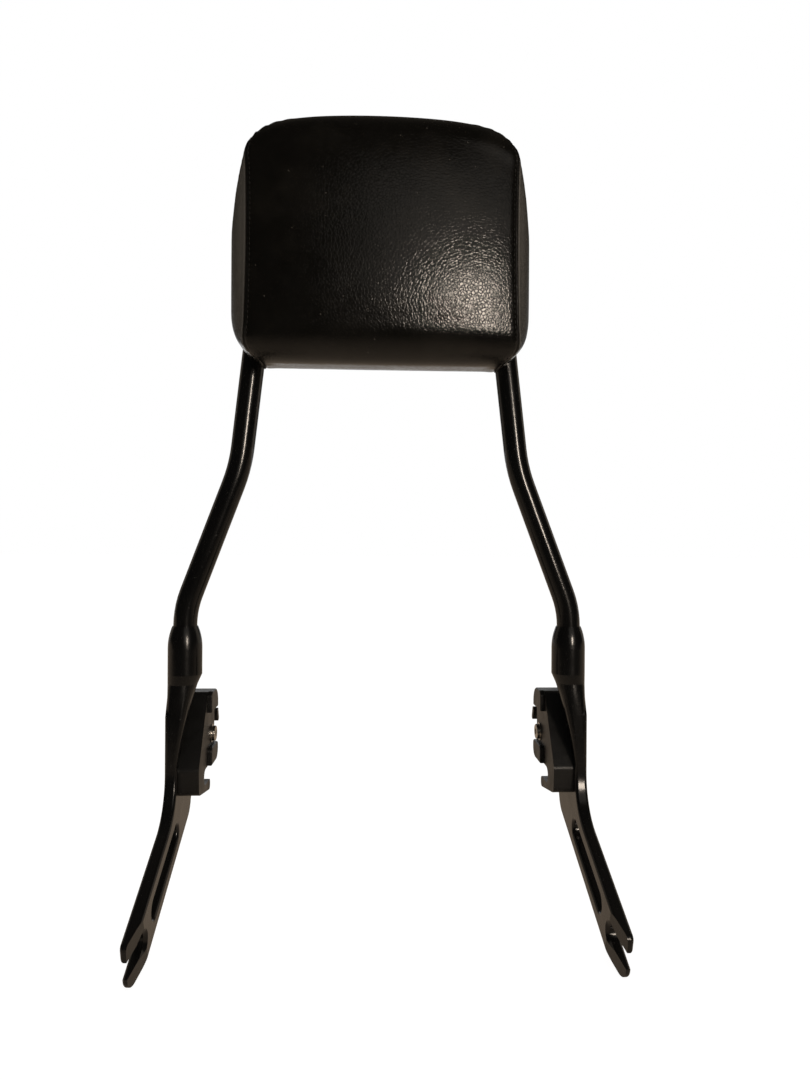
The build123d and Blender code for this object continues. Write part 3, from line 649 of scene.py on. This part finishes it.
def footGathers(place, run, away, look):  # small pleats beside the seam, at the foot corners only
    corner = np.clip(1 - (place[:, 2] - padLow[2]) / look["pleatHeight"], 0, 1)
    corner *= np.clip((np.abs(place[:, 0]) - look["footX"] + look["cornerIn"]) / look["cornerFade"], 0, 1)
    corner *= np.clip((padHigh[1] - look["cornerBack"] - place[:, 1]) / look["cornerFade"], 0, 1)
    waves = np.sin(2 * math.pi * run * look["seamLength"] / look["pleatPitch"])
    return corner * waves * np.exp(-away / look["pleatReach"]) * np.clip(away / look["pleatFrom"], 0, 1)


def dressCover(cover, middle, look):  # back opened, seams sunk, foot corners gathered, then a wall
    work = bmesh.new()
    work.from_mesh(cover.data)
    work.verts.ensure_lookup_table()
    work.verts.remove(work.verts[middle])
    work.to_mesh(cover.data)
    work.free()
    smooth = cover.modifiers.new("smooth", "SUBSURF")
    smooth.levels = smooth.render_levels = 1
    applyModifiers(cover)
    mesh = cover.data
    run = np.array([a.value for a in mesh.attributes["seamRun"].data])
    away = np.array([a.value for a in mesh.attributes["seamAway"].data])
    place = np.array([v.co for v in mesh.vertices])
    normal = np.array([v.normal for v in mesh.vertices])
    ditch = np.exp(-(away / look["ditchWidth"]) ** 2)
    lips = np.exp(-((away - look["lipAway"]) / look["lipWidth"]) ** 2)
    pleats = footGathers(place, run, away, look)
    rise = look["lip"] * lips - look["ditchDepth"] * ditch + look["pleatDepth"] * pleats
    place += normal * rise[:, None]
    place += normal * clearFoam(place, normal, edgePairs(mesh), look)[:, None]
    mesh.vertices.foreach_set("co", place.ravel())
    mesh.attributes.new("seamShade", "FLOAT", "POINT").data.foreach_set("value", ditch)
    mesh.update()
    skin = BVHTree.FromPolygons([v.co for v in mesh.vertices], [p.vertices for p in mesh.polygons])
    wall = cover.modifiers.new("wall", "SOLIDIFY")
    wall.thickness = look["wall"]
    wall.offset = -1
    applyModifiers(cover)
    for polygon in cover.data.polygons:
        polygon.use_smooth = True
    return skin


coverData, coverPin, coverMiddle, seamVertices, stapleLine = coverMesh(coverLook)
padCover = bpy.data.objects.new("padCover", coverData)
bpy.context.scene.collection.objects.link(padCover)
shell = bmesh.new()
shell.from_mesh(coverData)
bmesh.ops.recalc_face_normals(shell, faces=shell.faces)
shell.to_mesh(coverData)
shell.free()
swellCover(padCover, coverPin, coverLook)
seamLines = {side: [padCover.data.vertices[v].co.copy() for v in line] for side, line in seamVertices.items()}
coverSkin = dressCover(padCover, coverMiddle, coverLook)
padCover.data.materials.append(grainedVinyl("grainedVinyl", vinylLook))
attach(padCover, "frame")
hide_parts("pad_cover")
print("pad cover:", len(padCover.data.polygons), "faces")


# Lever springs: each CAD spring is copied into one mesh, with its doubled vertices merged
springLook = {"leg": 0.004, "mergeWithin": 0.00001, "slot": "spring_steel"}


def leverSpring(hand, look):
    nodeName = hand + "_lever_spring"
    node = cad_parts[nodeName]
    mesh = node.data.copy()  # keeps the node's finish
    mesh.transform(node.matrix_world)
    work = bmesh.new()
    work.from_mesh(mesh)
    bmesh.ops.remove_doubles(work, verts=work.verts, dist=look["mergeWithin"])
    work.to_mesh(mesh)
    work.free()
    piece = bpy.data.objects.new(hand + "LeverSpring", mesh)
    bpy.context.scene.collection.objects.link(piece)
    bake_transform(piece)
    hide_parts(nodeName)
    print(piece.name + ":", len(mesh.polygons), "faces")


leverSpring("left", springLook)
leverSpring("right", springLook)


# Small pieces set along lines: stitches, hem staples, weld beads
stitchLook = {
    "shape": "thread", "facets": (8, 5), "spacing": 0.0038, "size": (0.0014, 0.00032, 0.00032),
    "spread": 0.15, "seed": 4, "fromSeam": 0.0027, "endRows": 3, "proud": 0.0001, "slot": "vinyl",
    "dark": (0.005, 0.0043, 0.0035), "light": (0.012, 0.0105, 0.0085),
    "speckScale": 2400.0, "flowScale": 300.0, "smooth": 0.42, "dull": 0.60, "depth": 0.00004,
}
stapleLook = {
    "shape": "wire", "spacing": 0.026, "size": (0.0050, 0.0003, 0.0006), "spread": 0.0,
    "seed": 1, "proud": 0.0006, "slot": "spring_steel",
}
weldLook = {
    "shape": "bead", "facets": (10, 7), "spacing": 0.0013, "size": (0.0022, 0.0022, 0.0017), "spread": 0.12,
    "seed": 9, "fromEdge": 0.0008, "points": 12, "behindBar": 0.0004, "slot": "black_tube",
}
rowInputs = {"Line": "Geometry", "Spacing": "Float", "Piece size": "Vector", "Spread": "Float",
             "Seed": "Int", "Finish": "Material"}


def rowTree(name, look):  # one shape at even steps along a line, each turned to the line and varied a little
    tree = bpy.data.node_groups.new(name, "GeometryNodeTree")
    tree.interface.new_socket(name="Geometry", in_out="OUTPUT", socket_type="NodeSocketGeometry")
    sockets = {label: tree.interface.new_socket(name=label, in_out="INPUT", socket_type="NodeSocket" + kind)
               for label, kind in rowInputs.items()}
    given = addNode(tree, "NodeGroupInput").outputs
    curve = addNode(tree, "GeometryNodeMeshToCurve")
    tree.links.new(given["Line"], curve.inputs["Mesh"])
    steps = addNode(tree, "GeometryNodeResampleCurve", mode="LENGTH")
    tree.links.new(curve.outputs["Curve"], steps.inputs["Curve"])
    tree.links.new(given["Spacing"], steps.inputs["Length"])
    if look["shape"] == "wire":  # each shape is one unit from its middle, then scaled to size
        shape = addNode(tree, "GeometryNodeMeshCube")
        shape.inputs["Size"].default_value = (2.0, 2.0, 2.0)
    else:
        shape = addNode(tree, "GeometryNodeMeshUVSphere")
        shape.inputs["Segments"].default_value, shape.inputs["Rings"].default_value = look["facets"]
        shape.inputs["Radius"].default_value = 1.0
    sized = addNode(tree, "GeometryNodeTransform")
    tree.links.new(shape.outputs["Mesh"], sized.inputs["Geometry"])
    tree.links.new(given["Piece size"], sized.inputs["Scale"])
    turned = addNode(tree, "FunctionNodeAlignRotationToVector", axis="X")
    tree.links.new(addNode(tree, "GeometryNodeInputTangent").outputs["Tangent"], turned.inputs["Vector"])
    spread = addNode(tree, "FunctionNodeRandomValue", data_type="FLOAT")
    low = addNode(tree, "ShaderNodeMath", operation="SUBTRACT")
    low.inputs[0].default_value = 1.0
    tree.links.new(given["Spread"], low.inputs[1])
    tree.links.new(low.outputs[0], spread.inputs[2])
    spread.inputs[3].default_value = 1.0
    tree.links.new(given["Seed"], spread.inputs["Seed"])
    setOut = addNode(tree, "GeometryNodeInstanceOnPoints")
    tree.links.new(steps.outputs["Curve"], setOut.inputs["Points"])
    tree.links.new(sized.outputs["Geometry"], setOut.inputs["Instance"])
    tree.links.new(turned.outputs["Rotation"], setOut.inputs["Rotation"])
    tree.links.new(spread.outputs[1], setOut.inputs["Scale"])
    real = addNode(tree, "GeometryNodeRealizeInstances")
    tree.links.new(setOut.outputs["Instances"], real.inputs["Geometry"])
    finish = addNode(tree, "GeometryNodeSetMaterial")
    tree.links.new(real.outputs["Geometry"], finish.inputs["Geometry"])
    tree.links.new(given["Finish"], finish.inputs["Material"])
    tree.links.new(finish.outputs["Geometry"], addNode(tree, "NodeGroupOutput").inputs["Geometry"])
    return tree, sockets


def alongLine(name, look, lines, material):  # lines of points, open or closed, to a plain mesh of set pieces
    places, edges = [], []
    for line, closed in lines:
        first = len(places)
        places += [tuple(p) for p in line]
        edges += [(first + k, first + k + 1) for k in range(len(line) - 1)]
        if closed:
            edges.append((len(places) - 1, first))
    mesh = bpy.data.meshes.new(name)
    mesh.from_pydata(places, edges, [])
    piece = bpy.data.objects.new(name, mesh)
    bpy.context.scene.collection.objects.link(piece)
    tree, sockets = rowTree(name, look)
    row = piece.modifiers.new("row", "NODES")
    row.node_group = tree
    for label, value in (("Spacing", look["spacing"]), ("Piece size", look["size"]),
                         ("Spread", look["spread"]), ("Seed", look["seed"]), ("Finish", material)):
        row[sockets[label].identifier] = value
    applyModifiers(piece)
    for polygon in piece.data.polygons:
        polygon.use_smooth = look["shape"] != "wire"
    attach(piece, "frame")
    print(name + ":", len(piece.data.polygons), "faces")


def stitchLines(look):  # one row on the front panel beside each seam
    rows = []
    for side, line in seamLines.items():
        row = []
        for spot in line[look["endRows"]:-look["endRows"]]:
            place, facing, _, _ = coverSkin.find_nearest(spot - Vector((side * look["fromSeam"], 0, 0)))
            row.append(place + facing * look["proud"])
        rows.append((row, False))
    return rows


def weldLines(look):  # where the back of each crossbar meets the inside of the tube
    tube = BVHTree.FromObject(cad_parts["hoop_tube"], bpy.context.evaluated_depsgraph_get())
    rows = []
    for bar in ("upper_crossbar", "lower_crossbar"):
        low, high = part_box(bar)
        heights = np.linspace(low[2] + look["fromEdge"], high[2] - look["fromEdge"], look["points"])
        for side in (1, -1):
            row = [tube.ray_cast(Vector((0, high[1] + look["behindBar"], z)), Vector((side, 0, 0)))[0]
                   for z in heights]
            rows.append((row, False))
    return rows


alongLine("seamStitches", stitchLook, stitchLines(stitchLook), mouldedPlastic("waxedThread", stitchLook))
stapleRow = [(x, y + stapleLook["proud"], z) for x, y, z in stapleLine]
alongLine("hemStaples", stapleLook, [(stapleRow, True)], finishes["spring_steel"])
alongLine("weldBeads", weldLook, weldLines(weldLook), finishes["black_tube"])


# Stage, light and camera
stageLook = {
    "floorZ": cadBox[0][2] - 0.0005, "size": 30.0, "white": 1.17, "pale": (0.86, 0.86, 0.85), "dull": 0.9,
    "shadow": 0.20,  # share of the lit floor that the camera sees
    # what gloss sees: dim in front, warm behind the part and white far behind
    "nearSide": (0.022, 0.020, 0.017), "farSide": (0.35, 0.275, 0.205), "nearY": -0.70, "farY": -0.05,
    "whiteFrom": 2.5, "whiteTo": 8.0,
}
roomLook = {
    "room": (0.48, 0.465, 0.445),
    # what gloss sees: dim in front, paler behind and white straight behind
    "dim": (0.012, 0.0118, 0.011), "behind": (0.06, 0.051, 0.041), "backFrom": -0.2, "backTo": 0.75,
    "whiteFrom": 0.88, "whiteTo": 0.99,
}
lamps = [
    {"name": "keyLamp", "place": (0.72, -1.92, 0.45), "aim": (0.05, -0.09, 0.38), "size": (0.23, 0.46),
     "watts": 12.5, "colour": (1.0, 0.86, 0.72), "mirrored": True},
    {"name": "frontGlow", "place": (0.66, -1.95, 1.02), "aim": (0.0, -0.09, 0.40), "size": (1.50, 1.60),
     "watts": 3.0, "colour": (1.0, 0.93, 0.84), "mirrored": True},
    {"name": "rearLeft", "place": (2.00, 1.15, 0.85), "aim": (0.0, 0.0, 0.25), "size": (1.20, 1.50),
     "watts": 2.6, "colour": (1.0, 0.86, 0.70), "mirrored": True},
    {"name": "rearRight", "place": (-2.00, 1.15, 0.85), "aim": (0.0, 0.0, 0.25), "size": (1.20, 1.50),
     "watts": 1.5, "colour": (1.0, 0.86, 0.70), "mirrored": True},
    {"name": "topFill", "place": (0.10, -0.35, 1.90), "aim": (0.0, 0.0, 0.20), "size": (1.20, 0.80),
     "watts": 5.0, "colour": (1.0, 0.95, 0.90), "mirrored": False},
]
photoCamera = {
    "place": (-0.0129, -0.6895, 0.19895), "yaw": 2.9, "pitch": 0.09, "roll": 0.35,
    "lens": 27.03, "sensor": 36.0, "clip": (0.01, 100.0),
}


def shinyRay(tree, path):
    return maths(tree, "MAXIMUM", path.outputs["Is Glossy Ray"], path.outputs["Is Transmission Ray"])


def depthAlong(tree, coordinates):  # the Y of a place on the floor, or of a direction into the room
    along = addNode(tree, "ShaderNodeSeparateXYZ")
    tree.links.new(addNode(tree, "ShaderNodeTexCoord").outputs[coordinates], along.inputs["Vector"])
    return along.outputs["Y"]


def mixShaders(tree, factor, first, second):
    made = addNode(tree, "ShaderNodeMixShader")
    tree.links.new(factor, made.inputs["Fac"])
    tree.links.new(first, made.inputs[1])
    tree.links.new(second, made.inputs[2])
    return made.outputs["Shader"]


def paleStage(look):
    half, z = look["size"] / 2, look["floorZ"]
    mesh = bpy.data.meshes.new("paleFloor")
    corners = [(-half, -half, z), (half, -half, z), (half, half, z), (-half, half, z)]
    mesh.from_pydata(corners, [], [(0, 1, 2, 3)])
    floor = bpy.data.objects.new("paleFloor", mesh)
    bpy.context.scene.collection.objects.link(floor)
    made = bpy.data.materials.new("paleFloor")
    made.use_nodes = True
    tree = made.node_tree
    shader = tree.nodes["Principled BSDF"]
    shader.inputs["Base Color"].default_value = rgba(look["pale"])
    shader.inputs["Roughness"].default_value = look["dull"]
    shader.inputs["Specular IOR Level"].default_value = 0.0
    path = addNode(tree, "ShaderNodeLightPath")
    glow = addNode(tree, "ShaderNodeEmission")
    glow.inputs["Strength"].default_value = look["white"]
    glowing = maths(tree, "MULTIPLY", path.outputs["Is Camera Ray"], 1 - look["shadow"])
    seen = mixShaders(tree, glowing, shader.outputs["BSDF"], glow.outputs["Emission"])
    depth = depthAlong(tree, "Object")
    beyond = remap(tree, depth, look["nearY"], look["farY"])
    shown = blendColour(tree, beyond, rgba(look["nearSide"]), rgba(look["farSide"]))
    shown = blendColour(tree, remap(tree, depth, look["whiteFrom"], look["whiteTo"]), shown, pureWhite)
    mirrored = addNode(tree, "ShaderNodeEmission")
    tree.links.new(shown, mirrored.inputs["Color"])
    surface = mixShaders(tree, shinyRay(tree, path), seen, mirrored.outputs["Emission"])
    tree.links.new(surface, tree.nodes["Material Output"].inputs["Surface"])
    mesh.materials.append(made)


def whiteRoom(look):  # white to the camera, mostly dim to gloss
    world = bpy.data.worlds.new("whiteRoom")
    bpy.context.scene.world = world
    world.use_nodes = True
    world.cycles.sampling_method = "NONE"  # each kind of ray then meets its own part of the room
    tree = world.node_tree
    tree.nodes.clear()
    path = addNode(tree, "ShaderNodeLightPath")
    depth = depthAlong(tree, "Generated")
    behind = remap(tree, depth, look["backFrom"], look["backTo"])
    mirrored = blendColour(tree, behind, rgba(look["dim"]), rgba(look["behind"]))
    mirrored = blendColour(tree, remap(tree, depth, look["whiteFrom"], look["whiteTo"]), mirrored, pureWhite)
    colour = blendColour(tree, shinyRay(tree, path), rgba(look["room"]), mirrored)
    colour = blendColour(tree, path.outputs["Is Camera Ray"], colour, pureWhite)
    light = addNode(tree, "ShaderNodeBackground")
    tree.links.new(colour, light.inputs["Color"])
    tree.links.new(light.outputs["Background"], addNode(tree, "ShaderNodeOutputWorld").inputs["Surface"])


def addLamp(look):
    light = bpy.data.lights.new(look["name"], "AREA")
    light.shape = "RECTANGLE"
    light.size, light.size_y = look["size"]
    light.energy = look["watts"]
    light.color = look["colour"]
    lamp = bpy.data.objects.new(look["name"], light)
    lamp.visible_glossy = look["mirrored"]
    lamp.location = look["place"]
    lamp.rotation_euler = (Vector(look["aim"]) - Vector(look["place"])).to_track_quat("-Z", "Y").to_euler()
    bpy.context.scene.collection.objects.link(lamp)


def addCamera(look):
    yaw, pitch, roll = (math.radians(look[k]) for k in ("yaw", "pitch", "roll"))
    ahead = Vector((math.sin(yaw) * math.cos(pitch), math.cos(yaw) * math.cos(pitch), math.sin(pitch)))
    right = ahead.cross(Vector((0, 0, 1))).normalized()
    up = right.cross(ahead)
    right, up = right * math.cos(roll) + up * math.sin(roll), up * math.cos(roll) - right * math.sin(roll)
    camera = bpy.data.cameras.new("photoCamera")
    camera.lens, camera.sensor_width = look["lens"], look["sensor"]
    camera.clip_start, camera.clip_end = look["clip"]
    made = bpy.data.objects.new("photoCamera", camera)
    turn = Matrix((right, up, -ahead)).transposed()
    made.matrix_world = Matrix.Translation(look["place"]) @ turn.to_4x4()
    bpy.context.scene.collection.objects.link(made)
    bpy.context.scene.camera = made


paleStage(stageLook)
whiteRoom(roomLook)
for lamp in lamps:
    addLamp(lamp)
addCamera(photoCamera)
bpy.context.scene.view_settings.view_transform = "Standard"
print("stage:", len(lamps), "lamps")
